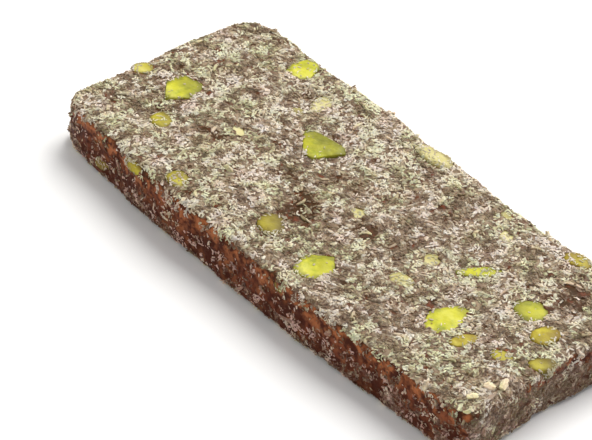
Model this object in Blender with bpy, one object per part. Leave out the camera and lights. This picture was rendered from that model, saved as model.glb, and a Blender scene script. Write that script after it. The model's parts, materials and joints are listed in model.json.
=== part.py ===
"""Carrot delight: one slab of thick cooked carrot paste with pistachio pieces, coated in desiccated coconut.

The slab lies flat. X runs along it from its far end to its near end, Y runs across it from its front side to
its back side, and Z is up. The origin is under the middle of the slab, on the surface that it lies on.
"""

import math
import random

import bmesh
import bpy
from mathutils import Matrix, Vector, noise
from mathutils.bvhtree import BVHTree

# The slab, in metres
LENGTH = 0.1028
FAR_WIDTH = 0.0436
NEAR_WIDTH = 0.0424
THICKNESS = 0.0100
FRONT_BOW = 0.0021  # how far the front side bulges in its middle
NEAR_END_HOLLOW = 0.0012  # how far the near end dips in its middle
BACK_HUMP = (-0.76, 0.24, 0.0015)  # of the back side by the far end: middle and half length from -1 to 1, height
FAR_HUMP = (-0.75, 0.50, 0.0007)  # of the far end by the front side: the same
CORNER_RADIUS = {  # by (end, side), where the knife or the mould left each corner differently round
    ("far", "front"): 0.0038,
    ("far", "back"): 0.0050,
    ("near", "back"): 0.0040,
    ("near", "front"): 0.0025,
}
RIM_RADIUS = 0.0011
CELL = 0.0029  # the spacing of the slab's faces before its relief
BEVEL_SEGMENTS = 2
RELIEF = ((0.0200, 0.00080), (0.0080, 0.00055), (0.0032, 0.00034))  # each size of bump: its width and height

# The pistachio pieces. Lengths in the lists are in millimetres, and turns in degrees from the X axis.
MM = 0.001
FIT_GAP = 0.00036  # between a piece and its pocket
PIECE_DEPTH = 2.6 * MM
CUT_FACE_RISE = 0.35 * MM  # how far a cut face stands out of the paste
LOWER_SWELL = 0.25  # makes a piece blunt underneath
SWELL = 0.16  # how uneven a piece's outline is
SWELL_TURNS = 1.3  # how often that changes round it
PIECE_STEP = Vector((1.0, 2.7, 1.3))  # from one piece's unevenness to the next
TOP_PIECES = (  # x, y, length, width, turn, how far it is sunk, tint
    (-50.0, -5.1, 4.2, 3.4, 60, 0.1, "olive"),
    (-41.1, -3.5, 8.6, 6.6, -80, 0.0, "bright"),
    (-36.0, -12.1, 5.0, 4.2, -30, 0.0, "olive"),
    (-21.7, -20.1, 5.2, 4.2, -35, 0.3, "olive"),
    (-33.2, 18.0, 7.6, 5.4, -70, 0.0, "bright"),
    (-23.2, 14.0, 6.0, 4.0, -75, 0.2, "pale"),
    (-24.3, 8.9, 3.4, 2.8, 10, 0.3, "pale"),
    (-14.2, 5.4, 9.2, 8.0, 12, 0.0, "bright"),
    (-0.4, 19.5, 8.8, 3.8, 2, 0.0, "pale"),
    (-3.5, -14.9, 5.8, 5.0, -38, 0.0, "olive"),
    (9.2, -15.9, 8.2, 6.4, 82, 0.0, "bright"),
    (18.8, 0.5, 4.6, 3.6, 60, 0.3, "pale"),
    (20.0, -7.1, 4.6, 3.4, 20, 0.3, "pale"),
    (26.5, 5.2, 8.2, 2.8, 53, 0.1, "bright"),
    (31.5, -7.5, 9.6, 6.8, 82, 0.0, "bright"),
    (37.1, -9.2, 5.4, 2.8, 69, 0.1, "mustard"),
    (38.6, 4.3, 6.0, 5.4, 30, 0.0, "bright"),
    (44.5, 1.6, 5.4, 4.4, 70, 0.0, "mustard"),
    (43.3, -6.8, 5.0, 3.2, 10, 0.2, "olive"),
    (48.9, -3.4, 4.6, 3.4, 60, 0.1, "olive"),
    (22.2, 14.9, 3.8, 2.8, -50, 0.3, "pale"),
    (18.5, 18.3, 3.6, 2.6, -40, 0.3, "pale"),
    (34.0, 19.8, 5.2, 3.4, 10, 0.1, "mustard"),
    (-25.9, -3.4, 3.8, 2.8, -20, 0.3, "pale"),
    (3.2, -1.2, 4.4, 3.4, 45, 0.3, "pale"),
    (-43.0, 13.5, 3.4, 2.8, 30, 0.3, "pale"),
)
CHOPPED = {  # by a piece's number: the way that each flat side of it faces, and its distance from the middle
    2: ((-35, 2.9), (-132, 2.7), (95, 3.7)),
    5: ((20, 2.3), (170, 2.4)),
    8: ((97, 2.5), (-23, 3.1), (-132, 3.0)),
    10: ((75, 2.2), (-165, 2.3)),
    11: ((48, 2.9), (138, 2.8), (-80, 3.7)),
    15: ((152, 2.9), (108, 4.0), (-3, 2.9), (-41, 3.7), (-150, 3.2)),
    17: ((135, 2.2), (-100, 2.5)),
    18: ((0, 1.9), (150, 2.0)),
}
SIDE_TURN = 137.5  # degrees, between the one flat side of any other piece and that of the next
SIDE_CUT = 0.8  # that side's distance from the middle, in half widths
LEAST_CHOPPED = 4.0 * MM  # a narrower piece has no flat side
UNDER_PIECES = (  # the same
    (-38.0, 9.0, 7.4, 5.6, 25, 0.1, "bright"),
    (-27.0, -9.5, 5.6, 4.4, -50, 0.1, "olive"),
    (-9.0, 2.0, 8.0, 6.2, 70, 0.1, "bright"),
    (6.0, 13.5, 5.0, 4.0, 10, 0.1, "mustard"),
    (17.0, -10.0, 7.6, 5.8, -20, 0.1, "bright"),
    (33.0, 6.0, 6.4, 5.0, 35, 0.1, "olive"),
    (43.5, -12.0, 4.8, 3.6, -60, 0.1, "pale"),
)
SIDE_PIECES = (  # side, place along it, height of the middle, length, width, turn, tint
    ("front", -39.2, 2.8, 4.4, 2.6, 20, "mustard"),
    ("front", -29.2, 8.3, 5.6, 2.6, 0, "mustard"),
    ("front", 8.6, 7.6, 4.4, 2.6, -10, "mustard"),
    ("back", -20.0, 4.6, 5.2, 3.2, 15, "olive"),
    ("back", 24.0, 5.6, 6.0, 3.4, -20, "bright"),
    ("near", 9.0, 4.4, 4.2, 2.8, 25, "mustard"),
    ("far", 7.5, 5.6, 4.6, 3.0, -15, "olive"),
)

# The largest shreds of the coconut coating. Finer ones are left to the surface's finish.
SHRED_SEED = 18
SHREDS = {"top": 112, "front": 10, "back": 10, "near": 6, "far": 6}
SHRED_LENGTH = (1.5 * MM, 3.4 * MM)
SHRED_WIDTH = (0.55 * MM, 0.95 * MM)
SHRED_THICKNESS = 0.60 * MM
SHRED_RISE = 0.08 * MM  # of a shred's middle over the paste
SHRED_SPACING = 3.6 * MM
SHRED_TO_PIECE = 1.9 * MM  # kept free round each pistachio piece
SHRED_BEND = 0.6  # in widths
SHRED_TAPER = (0.36, 0.54)
SHRED_TILT = 0.12  # in radians
SHRED_BAND = (0.2, 0.85)  # of the thickness, where shreds lie on the sides
SHRED_TRIES = 60

PASTE_COLOUR = (0.19, 0.075, 0.035, 1.0)
PISTACHIO_COLOURS = {
    "bright": (0.52, 0.56, 0.03, 1.0),
    "olive": (0.40, 0.36, 0.04, 1.0),
    "mustard": (0.45, 0.30, 0.04, 1.0),
    "pale": (0.60, 0.55, 0.22, 1.0),
}
PASTE_ROUGHNESS = 0.45
PISTACHIO_ROUGHNESS = 0.5

LEVEL = 0.9  # how upright a surface's normal is where the surface counts as level
FACING = 0.8  # how straight a surface must look one way to count as facing it
DOWN = Vector((0.0, 0.0, -1.0))
INWARD = {  # the way into the slab from each of its faces
    "top": DOWN,
    "under": -DOWN,
    "front": Vector((0.0, 1.0, 0.0)),
    "back": Vector((0.0, -1.0, 0.0)),
    "near": Vector((-1.0, 0.0, 0.0)),
    "far": Vector((1.0, 0.0, 0.0)),
}


def clear_scene():
    for old in list(bpy.data.objects):
        bpy.data.objects.remove(old)


def new_collection(name, hidden=False):
    collection = bpy.data.collections.new(name)
    collection.hide_render = hidden
    bpy.context.scene.collection.children.link(collection)
    return collection


def new_material(name, colour, roughness):
    material = bpy.data.materials.new(name)
    material.use_nodes = True
    shader = material.node_tree.nodes["Principled BSDF"]
    shader.inputs["Base Color"].default_value = colour
    shader.inputs["Roughness"].default_value = roughness
    shader.inputs["Metallic"].default_value = 0.0
    return material


def new_object(name, shape, collection, material=None):
    mesh = bpy.data.meshes.new(name)
    shape.to_mesh(mesh)
    shape.free()
    if material:
        mesh.materials.append(material)
    made = bpy.data.objects.new(name, mesh)
    collection.objects.link(made)
    return made


def block_of_cells():
    """A cube from -1 to 1, cut into even cells of about CELL at the slab's size."""
    block = bmesh.new()
    bmesh.ops.create_cube(block, size=2.0)
    for axis, size in enumerate((LENGTH, FAR_WIDTH, THICKNESS)):
        along = [e for e in block.edges if abs(e.verts[0].co[axis] - e.verts[1].co[axis]) > 1.0]
        bmesh.ops.subdivide_edges(block, edges=along, cuts=round(size / CELL) - 1, use_grid_fill=True)
    return block


def hump(at, middle, half_length, height):
    """How far a side stands out at a place along it, for one smooth hump."""
    off = min(1.0, abs(at - middle) / half_length)
    return height * (1 - off * off) ** 2


def outline_place(u, v):
    """Where a point of the square from -1 to 1 lies in the outline with its round corners and bowed sides."""
    half_length = LENGTH / 2
    half_width = (FAR_WIDTH + (NEAR_WIDTH - FAR_WIDTH) * (u + 1) / 2) / 2
    x = u * half_length
    y = v * half_width
    radius = CORNER_RADIUS["near" if u > 0 else "far", "back" if v > 0 else "front"]
    past_x = abs(x) - (half_length - radius)
    past_y = abs(y) - (half_width - radius)
    if past_x > 0 and past_y > 0:
        shrink = max(past_x, past_y) / math.hypot(past_x, past_y)
        x = math.copysign(half_length - radius + past_x * shrink, x)
        y = math.copysign(half_width - radius + past_y * shrink, y)
    x -= NEAR_END_HOLLOW * (1 - v * v) * max(u, 0)
    x -= hump(v, *FAR_HUMP) * max(-u, 0)
    y -= FRONT_BOW * (1 - u * u) * max(-v, 0)
    y += hump(u, *BACK_HUMP) * max(v, 0)
    return x, y


def is_rim(edge):
    """Whether an edge joins a side of the slab to its top or its underside."""
    level = [abs(face.normal.z) > abs(face.normal.xy.length) for face in edge.link_faces]
    return level[0] != level[1]


def bump(place):
    """The height of the uneven surface at a place, as a sum of bumps of several sizes."""
    return sum(height * noise.noise(place / width) for width, height in RELIEF)


def shape_slab(block):
    """Gives the block of cells the slab's outline, rounded rims and relief. The underside stays flat."""
    for vertex in block.verts:
        x, y = outline_place(vertex.co.x, vertex.co.y)
        vertex.co = Vector((x, y, (vertex.co.z + 1) * THICKNESS / 2))
    block.normal_update()
    rims = [edge for edge in block.edges if is_rim(edge)]
    bmesh.ops.bevel(block, geom=rims, offset=RIM_RADIUS, segments=BEVEL_SEGMENTS, profile=0.5, affect="EDGES")
    block.normal_update()
    moves = []
    for vertex in block.verts:
        way = vertex.normal.copy()
        if vertex.co.z < RIM_RADIUS:
            way.z = 0.0
        if vertex.co.z < RIM_RADIUS / 10 and vertex.normal.z < -LEVEL:
            way = Vector()
        moves.append(way * bump(vertex.co))
    for vertex, move in zip(block.verts, moves):
        vertex.co += move
    underside = [f for f in block.faces if all(v.co.z < RIM_RADIUS / 100 for v in f.verts)]
    bmesh.ops.dissolve_faces(block, faces=underside)


def surface_under(tree, face, place):
    """The slab's surface at a place, seen straight from one of its faces, and the surface's normal."""
    start = place - INWARD[face] * LENGTH
    found, normal, _, _ = tree.ray_cast(start, INWARD[face])
    return found, normal


def standing_on(point, normal, turn):
    """The matrix that stands a shape on a surface, its Z along the normal. Its turn is from the X axis, or from
    the Y axis on an end of the slab."""
    level_way = Vector((0.0, 1.0, 0.0)) if abs(normal.x) > FACING else Vector((1.0, 0.0, 0.0))
    across = normal.cross(level_way).normalized()
    upright = Matrix((across.cross(normal), across, normal)).transposed().to_4x4()
    return Matrix.Translation(point) @ upright @ Matrix.Rotation(turn, 4, "Z")


def flat_sides(number, width, turn):
    """The way in which each flat side of a piece faces, from the piece's own X axis, and its distance."""
    if number in CHOPPED:
        return [(math.radians(way - turn), distance * MM) for way, distance in CHOPPED[number]]
    if width < LEAST_CHOPPED:
        return []
    return [(math.radians(SIDE_TURN * number), SIDE_CUT * width / 2)]


def chop(shape, way, distance):
    """Cuts a shape off flat at a distance from its middle, and closes the cut."""
    facing = Vector((math.cos(way), math.sin(way), 0.0))
    everything = shape.verts[:] + shape.edges[:] + shape.faces[:]
    cut = bmesh.ops.bisect_plane(
        shape, geom=everything, dist=MM / 1000, plane_co=facing * distance, plane_no=facing, clear_outer=True
    )
    rim = [item for item in cut["geom_cut"] if isinstance(item, bmesh.types.BMEdge)]
    if rim:
        bmesh.ops.contextual_create(shape, geom=rim)


def pistachio_shape(length, width, number, turn):
    """A chunk of kernel round the origin: a pebble with one nearly flat cut face on top, at z = 0."""
    pebble = bmesh.new()
    bmesh.ops.create_uvsphere(pebble, u_segments=8, v_segments=4, radius=1.0)
    for vertex in pebble.verts:
        swell = 1 + SWELL * noise.noise(vertex.co * SWELL_TURNS + PIECE_STEP * number)
        high = max(vertex.co.z, 0.0)
        low = min(vertex.co.z, 0.0)
        swell *= 1 + LOWER_SWELL * low * low
        vertex.co.x *= swell * length / 2
        vertex.co.y *= swell * width / 2
        vertex.co.z = low * PIECE_DEPTH + (high - 1) * CUT_FACE_RISE
    for way, distance in flat_sides(number, width, turn):
        chop(pebble, way, distance)
    bmesh.ops.recalc_face_normals(pebble, faces=pebble.faces)
    return pebble


def grown(shape, gap):
    """A copy of a shape with its surface moved out by a gap, to cut its pocket."""
    larger = shape.copy()
    larger.normal_update()
    for vertex, kept in zip(larger.verts, shape.verts):
        vertex.co = kept.co + kept.normal * gap
    return larger


def piece_places(tree):
    """The matrix, length, width, turn and tint of every pistachio piece, in the order of their numbers."""
    places = []
    for face, rows, rise in (("top", TOP_PIECES, CUT_FACE_RISE), ("under", UNDER_PIECES, 0.0)):
        for x, y, length, width, turn, sunk, tint in rows:
            point, normal = surface_under(tree, face, Vector((x * MM, y * MM, 0.0)))
            if abs(normal.z) < LEVEL:
                normal = -INWARD[face]
            point = point - INWARD[face] * (rise - sunk * MM)
            stand = standing_on(point, normal, math.radians(turn))
            places.append((stand, length * MM, width * MM, turn, tint))
    for face, along, height, length, width, turn, tint in SIDE_PIECES:
        is_long_side = face in ("front", "back")
        spot = Vector((along * is_long_side, along * (not is_long_side), height)) * MM
        point, _ = surface_under(tree, face, spot)
        stand = standing_on(point, -INWARD[face], math.radians(turn))
        places.append((stand, length * MM, width * MM, turn, tint))
    return places


def shred_shape(length, width, bend, rng):
    """A shred of coconut round the origin: a thin strip with tapered ends, bent along its length."""
    strip = bmesh.new()
    bmesh.ops.create_cube(strip, size=1.0)
    along = [e for e in strip.edges if abs(e.verts[0].co.x - e.verts[1].co.x) > 0.5]
    bmesh.ops.subdivide_edges(strip, edges=along, cuts=1, use_grid_fill=True)
    for vertex in strip.verts:
        out = 2 * vertex.co.x
        taper = 1 - out * out * rng.uniform(*SHRED_TAPER)
        vertex.co.y = vertex.co.y * width * taper + bend * width * out * out
        vertex.co.z *= SHRED_THICKNESS * taper
        vertex.co.x *= length
    return strip


def shred_spot(face, rng):
    """A random place over one face of the slab."""
    x = rng.uniform(-LENGTH, LENGTH) / 2
    y = rng.uniform(-FAR_WIDTH, FAR_WIDTH) / 2
    z = rng.uniform(*SHRED_BAND) * THICKNESS
    if face == "top":
        return Vector((x, y, THICKNESS))
    if face in ("front", "back"):
        return Vector((x, 0.0, z))
    return Vector((0.0, y, z))


def free_spot(tree, face, length, taken, pieces, rng):
    """A place for a shred on one face, apart from the others and clear of the pieces, if one is found."""
    for _ in range(SHRED_TRIES):
        point, normal = surface_under(tree, face, shred_spot(face, rng))
        if point is None or normal.dot(INWARD[face]) > -FACING:
            continue
        if any((point - other).length < SHRED_SPACING for other in taken):
            continue
        reach = length / 3 + SHRED_TO_PIECE
        if all((point - middle).length > radius + reach for middle, radius in pieces):
            return point, normal
    return None, None


def add_shreds(tree, pieces, collection):
    """Lays shreds on each face, the largest first."""
    rng = random.Random(SHRED_SEED)
    shortest, longest = SHRED_LENGTH
    taken = []
    for face, count in SHREDS.items():
        for number in range(count):
            length = shortest + (longest - shortest) * (1 - number / count) ** 2
            point, normal = free_spot(tree, face, length, taken, pieces, rng)
            if point is None:
                continue
            taken.append(point)
            shred = shred_shape(length, rng.uniform(*SHRED_WIDTH), rng.uniform(-SHRED_BEND, SHRED_BEND), rng)
            lie = standing_on(point + normal * SHRED_RISE, normal, rng.uniform(0, math.pi))
            shred.transform(lie @ Matrix.Rotation(rng.uniform(-SHRED_TILT, SHRED_TILT), 4, "Y"))
            new_object(f"shred_{len(taken):03d}", shred, collection)


def body_round(start):
    """All the faces that a face is joined to, from edge to edge."""
    found = {start}
    waiting = [start]
    while waiting:
        for edge in waiting.pop().edges:
            for face in edge.link_faces:
                if face not in found:
                    found.add(face)
                    waiting.append(face)
    return found


def drop_scraps(mesh):
    """Keeps only the largest body of a mesh, which fills any sealed hollow too."""
    shape = bmesh.new()
    shape.from_mesh(mesh)
    bmesh.ops.triangulate(shape, faces=shape.faces)
    left = set(shape.faces)
    bodies = []
    while left:
        bodies.append(body_round(next(iter(left))))
        left -= bodies[-1]
    bodies.sort(key=len)
    scraps = [face for body in bodies[:-1] for face in body]
    bmesh.ops.delete(shape, geom=scraps, context="FACES")
    shape.to_mesh(mesh)
    shape.free()


def apply_boolean(target, operation, others):
    """Cuts a collection's shapes out of an object, or joins them to it, and removes them."""
    cut = target.modifiers.new(operation.lower(), "BOOLEAN")
    cut.operation = operation
    cut.operand_type = "COLLECTION"
    cut.collection = others
    cut.solver = "MANIFOLD"
    graph = bpy.context.evaluated_depsgraph_get()
    result = bpy.data.meshes.new_from_object(target.evaluated_get(graph), depsgraph=graph)
    drop_scraps(result)
    target.modifiers.clear()
    target.data = result
    for used in list(others.objects):
        bpy.data.objects.remove(used)
    bpy.data.collections.remove(others)


def centre_on_origin(objects):
    """Moves the meshes so that the origin is under the middle of the whole, at its lowest point."""
    points = [vertex.co for made in objects for vertex in made.data.vertices]
    low = Vector([min(point[axis] for point in points) for axis in range(3)])
    high = Vector([max(point[axis] for point in points) for axis in range(3)])
    shift = Matrix.Translation((-(low.x + high.x) / 2, -(low.y + high.y) / 2, -low.z))
    for made in objects:
        made.data.transform(shift)


def build():
    clear_scene()
    parts = new_collection("carrot_delight")
    pockets = new_collection("pockets", hidden=True)
    coating = new_collection("coating", hidden=True)
    paste = new_material("carrot_paste", PASTE_COLOUR, PASTE_ROUGHNESS)
    kernels = {}
    for tint, colour in PISTACHIO_COLOURS.items():
        kernels[tint] = new_material(f"pistachio_{tint}", colour, PISTACHIO_ROUGHNESS)

    block = block_of_cells()
    shape_slab(block)
    tree = BVHTree.FromBMesh(block)
    slab = new_object("slab", block, parts, paste)

    pieces = []
    for number, (stand, length, width, turn, tint) in enumerate(piece_places(tree), start=1):
        shape = pistachio_shape(length, width, number, turn)
        shape.transform(stand)
        shape.normal_update()
        cutter = new_object(f"pocket_{number:02d}", grown(shape, FIT_GAP), pockets)
        cutter.display_type = "WIRE"
        new_object(f"pistachio_{number:02d}", shape, parts, kernels[tint])
        pieces.append((stand.translation.copy(), (length + width) / 4))
    apply_boolean(slab, "DIFFERENCE", pockets)
    add_shreds(tree, pieces, coating)
    apply_boolean(slab, "UNION", coating)
    centre_on_origin(list(parts.objects))


build()
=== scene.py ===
"""Carrot delight: a slab of thick carrot paste with pistachio kernels in it, rolled in desiccated coconut.

The slab lies on its underside. X runs along it, from its far end to its near end, and Y from its front side
to its back side.
"""

import json
import math
import random

import bmesh
import bpy
import numpy as np
from mathutils import Matrix, Vector, noise
from mathutils.bvhtree import BVHTree

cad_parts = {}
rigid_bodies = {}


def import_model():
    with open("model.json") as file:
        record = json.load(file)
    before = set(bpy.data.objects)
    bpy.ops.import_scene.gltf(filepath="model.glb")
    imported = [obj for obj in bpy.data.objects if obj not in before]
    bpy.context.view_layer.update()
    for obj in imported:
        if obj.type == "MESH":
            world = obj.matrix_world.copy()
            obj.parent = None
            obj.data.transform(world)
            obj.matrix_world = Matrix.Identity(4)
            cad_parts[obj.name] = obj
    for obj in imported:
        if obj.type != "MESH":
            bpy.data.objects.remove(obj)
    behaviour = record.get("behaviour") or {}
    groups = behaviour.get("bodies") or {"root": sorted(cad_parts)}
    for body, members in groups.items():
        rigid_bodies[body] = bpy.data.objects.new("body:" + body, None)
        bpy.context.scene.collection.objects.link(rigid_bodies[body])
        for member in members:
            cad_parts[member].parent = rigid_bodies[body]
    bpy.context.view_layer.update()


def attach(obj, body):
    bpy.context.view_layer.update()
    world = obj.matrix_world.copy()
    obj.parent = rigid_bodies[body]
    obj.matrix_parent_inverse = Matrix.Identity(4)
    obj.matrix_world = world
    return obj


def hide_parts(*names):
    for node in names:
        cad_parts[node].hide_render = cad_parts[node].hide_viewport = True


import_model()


# -------- The carrot paste
# Grated carrot boiled down with sugar and starch until it is stiff, glossy and see-through, poured into a
# tray to set, and cut into slabs. Its underside is flat from the tray and its corners are blunt. The other
# faces are uneven, and the knife has dragged the four sides.

MM = 0.001
PASTE_LENGTH = 102.8 * MM
FAR_END_WIDTH = 43.6 * MM
NEAR_END_WIDTH = 42.4 * MM
PASTE_THICKNESS = 10.0 * MM
FRONT_SIDE_BOW = 2.1 * MM
NEAR_END_DIP = 1.2 * MM
BACK_HUMP = (-0.76, 0.24, 1.5 * MM)  # middle and half length, from -1 to 1 along the side, and height
FAR_HUMP = (-0.75, 0.50, 0.7 * MM)
CORNERS = {  # how round each corner is
    ("far", "front"): 3.8 * MM,
    ("far", "back"): 5.0 * MM,
    ("near", "back"): 4.0 * MM,
    ("near", "front"): 2.5 * MM,
}
RIM = 1.1 * MM
PASTE_CELLS = (35, 15, 3)  # along, across and up
SWELLS = ((20.0 * MM, 0.80 * MM), (8.0 * MM, 0.55 * MM), (3.2 * MM, 0.34 * MM))  # width and height of each
COAT_UNDER = 0.28 * MM  # the coconut between the paste and what it lies on
PASTE_DETAIL = 0.42 * MM
PASTE_LUMPS = ((1.9 * MM, 0.50 * MM), (0.75 * MM, 0.20 * MM))  # the same
CUT_STEEPNESS = 0.6  # the most that a normal on a cut side rises or falls
DRAG = (0.9, 0.9, 2.2)  # how far the knife stretches the strands each way
STRANDS = (0.7 * MM, 0.34 * MM)  # their width and height
TRAY_TO_FRAME = Vector((0.2891, 0.4497, 0.0)) * MM  # from the middle of the tray to the frame's origin
IN_FRAME = Matrix.Translation(TRAY_TO_FRAME)
LEVEL = 0.9  # how upright a normal is on a level face
FACING = 0.8  # how much along an axis a normal is on a face that looks that way


def only(piece):
    """Selects one object alone and makes it the active one."""
    bpy.ops.object.select_all(action="DESELECT")
    piece.select_set(True)
    bpy.context.view_layer.objects.active = piece


def edit(piece):
    """Opens an object in edit mode with nothing selected, and gives its edit mesh."""
    only(piece)
    bpy.ops.object.mode_set(mode="EDIT")
    bpy.ops.mesh.select_all(action="DESELECT")
    return bmesh.from_edit_mesh(piece.data)


def pick_edges(piece, test):
    """Selects the edges of the object in edit mode that pass a test."""
    bpy.ops.mesh.select_mode(type="EDGE")
    bpy.ops.mesh.select_all(action="DESELECT")
    shape = bmesh.from_edit_mesh(piece.data)
    for edge in shape.edges:
        edge.select_set(bool(test(edge)))
    bmesh.update_edit_mesh(piece.data)


def done():
    bpy.ops.object.mode_set(mode="OBJECT")


def treat(piece, kind, **settings):
    """Adds a modifier to an object and applies it."""
    only(piece)
    modifier = piece.modifiers.new(kind.lower(), kind)
    for setting, value in settings.items():
        setattr(modifier, setting, value)
    bpy.ops.object.modifier_apply(modifier=modifier.name)


def remesh(piece, detail):
    """Lays even faces over the whole shape, as fine as the detail."""
    only(piece)
    piece.data.remesh_voxel_size = detail
    piece.data.remesh_voxel_adaptivity = 0
    bpy.ops.object.voxel_remesh()


def roughen(piece, width, height, **settings):
    """Raises soft lumps of one width all over a shape."""
    lumps = bpy.data.textures.new("lumps", "CLOUDS")
    lumps.noise_scale = width
    lumps.noise_depth = 2
    treat(piece, "DISPLACE", texture=lumps, strength=height, mid_level=0.5, **settings)
    bpy.data.textures.remove(lumps)


def set_down(piece, way=IN_FRAME):
    """Moves a shape to its place, with its object left at the origin."""
    only(piece)
    piece.matrix_world = way
    bpy.ops.object.transform_apply(location=True, rotation=True, scale=True)


def hump(at, middle, half_length, height):
    """How far one smooth hump makes a side stand out at a place along it."""
    off = min(1.0, abs(at - middle) / half_length)
    return height * (1 - off * off) ** 2


def tray_place(u, v):
    """Where a point of the square from -1 to 1 lies in the slab's outline."""
    half_length = PASTE_LENGTH / 2
    half_width = (FAR_END_WIDTH + (NEAR_END_WIDTH - FAR_END_WIDTH) * (u + 1) / 2) / 2
    x = u * half_length
    y = v * half_width
    radius = CORNERS["near" if u > 0 else "far", "back" if v > 0 else "front"]
    past_x = abs(x) - (half_length - radius)
    past_y = abs(y) - (half_width - radius)
    if past_x > 0 and past_y > 0:
        shrink = max(past_x, past_y) / math.hypot(past_x, past_y)
        x = math.copysign(half_length - radius + past_x * shrink, x)
        y = math.copysign(half_width - radius + past_y * shrink, y)
    x -= NEAR_END_DIP * (1 - v * v) * max(u, 0)
    x -= hump(v, *FAR_HUMP) * max(-u, 0)
    y -= FRONT_SIDE_BOW * (1 - u * u) * max(-v, 0)
    y += hump(u, *BACK_HUMP) * max(v, 0)
    return x, y


def is_rim(edge):
    """Whether an edge lies between a level face and an upright one."""
    level = [abs(face.normal.z) > face.normal.xy.length for face in edge.link_faces]
    return level[0] != level[1]


def swell(place):
    """How far the paste swells out at a place."""
    return sum(height * noise.noise(place / width) for width, height in SWELLS)


bpy.ops.object.select_all(action="DESELECT")
bpy.ops.mesh.primitive_cube_add(size=2)
paste = bpy.context.object
paste.name = "carrot_paste"
edit(paste)
for axis, cells in enumerate(PASTE_CELLS):
    pick_edges(paste, lambda edge: abs(edge.verts[0].co[axis] - edge.verts[1].co[axis]) > 1)
    bpy.ops.mesh.subdivide(number_cuts=cells - 1)
shape = bmesh.from_edit_mesh(paste.data)
for point in shape.verts:
    x, y = tray_place(point.co.x, point.co.y)
    point.co = (x, y, (point.co.z + 1) * PASTE_THICKNESS / 2)
shape.normal_update()
pick_edges(paste, is_rim)
bpy.ops.mesh.bevel(offset=RIM, segments=2, profile=0.5, affect="EDGES", loop_slide=False)
shape = bmesh.from_edit_mesh(paste.data)
shape.normal_update()
moves = []
for point in shape.verts:
    way = point.normal.copy()
    if point.co.z < RIM:
        way.z = 0.0
    if point.co.z < RIM / 10 and point.normal.z < -LEVEL:
        way = Vector()
    moves.append(way * swell(point.co))
for point, move in zip(shape.verts, moves):
    point.co += move
tray = BVHTree.FromBMesh(shape)  # the plain slab, which the kernels and the largest shreds are set against
for point in shape.verts:
    point.co.z = max(point.co.z, COAT_UNDER)
bmesh.update_edit_mesh(paste.data)
done()
treat(paste, "SUBSURF", levels=1, render_levels=1)
remesh(paste, PASTE_DETAIL)
for width, height in PASTE_LUMPS:
    roughen(paste, width, height)

# The knife drags the sides into short strands down the cut.
sides = paste.vertex_groups.new(name="cut_sides")
sides.add([v.index for v in paste.data.vertices if abs(v.normal.z) < CUT_STEEPNESS], 1.0, "REPLACE")
bpy.ops.object.empty_add(location=(0, 0, 0))
drag = bpy.context.object
drag.scale = DRAG
bpy.context.view_layer.update()
dragged = {"texture_coords": "OBJECT", "texture_coords_object": drag, "vertex_group": "cut_sides"}
roughen(paste, *STRANDS, **dragged)
bpy.data.objects.remove(drag)
for point in paste.data.vertices:
    point.co.z = max(point.co.z, COAT_UNDER)
paste.vertex_groups.clear()
set_down(paste)


def put(tree, kind, values=(), **settings):
    """Adds a shader node with its settings, and links or sets its numbered or named inputs."""
    added = tree.nodes.new(kind)
    for setting, value in settings.items():
        setattr(added, setting, value)
    for socket, value in dict(values).items():
        if isinstance(value, bpy.types.NodeSocket):
            tree.links.new(value, added.inputs[socket])
        else:
            added.inputs[socket].default_value = value
    return added


def blend(tree, share, one, other, way="MIX"):
    """A mix of two colours."""
    values = {0: share, 6: one, 7: other}
    return put(tree, "ShaderNodeMix", values, data_type="RGBA", blend_type=way).outputs[2]


def reckon(tree, operation, one, other):
    """The sum, difference, product or quotient of two values."""
    return put(tree, "ShaderNodeMath", {0: one, 1: other}, operation=operation).outputs[0]


def attribute(tree, name):
    """A value that the mesh holds for each of its points."""
    return put(tree, "ShaderNodeAttribute", attribute_name=name).outputs["Fac"]


def remap(tree, value, low=0.0, high=1.0, to_low=0.0, to_high=1.0):
    """A value of one range brought to another, and kept inside it."""
    spread = {"Value": value, "From Min": low, "From Max": high, "To Min": to_low, "To Max": to_high}
    return put(tree, "ShaderNodeMapRange", spread).outputs[0]


# Mottling: patches of one size, of two colours, which every natural surface here has in its own measure.
WHITE = (1, 1, 1, 1)
BLACK = (0, 0, 0, 1)
mottle = bpy.data.node_groups.new("mottle", "ShaderNodeTree")
for label, kind, value in (
    ("One", "NodeSocketColor", WHITE),
    ("Other", "NodeSocketColor", BLACK),
    ("Size in mm", "NodeSocketFloat", 1.0),
    ("Share of one", "NodeSocketFloat", 0.5),
    ("Softness", "NodeSocketFloat", 0.1),
    ("Stretch", "NodeSocketVector", (1, 1, 1)),
):
    mottle.interface.new_socket(name=label, in_out="INPUT", socket_type=kind).default_value = value
for label, kind in (("Colour", "NodeSocketColor"), ("Mask", "NodeSocketFloat")):
    mottle.interface.new_socket(name=label, in_out="OUTPUT", socket_type=kind)
given = mottle.nodes.new("NodeGroupInput").outputs
made = mottle.nodes.new("NodeGroupOutput").inputs
place = put(mottle, "ShaderNodeTexCoord").outputs["Object"]
place = put(mottle, "ShaderNodeVectorMath", {0: place, 1: given["Stretch"]}, operation="MULTIPLY").outputs[0]
per_metre = reckon(mottle, "DIVIDE", 1000.0, given["Size in mm"])
patches = put(mottle, "ShaderNodeTexNoise", {"Vector": place, "Scale": per_metre, "Detail": 3.0}).outputs[0]
low = reckon(mottle, "SUBTRACT", given["Share of one"], given["Softness"])
high = reckon(mottle, "ADD", given["Share of one"], given["Softness"])
mask = remap(mottle, patches, low, high)
mottle.links.new(mask, made["Mask"])
mottle.links.new(blend(mottle, mask, given["One"], given["Other"]), made["Colour"])


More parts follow.
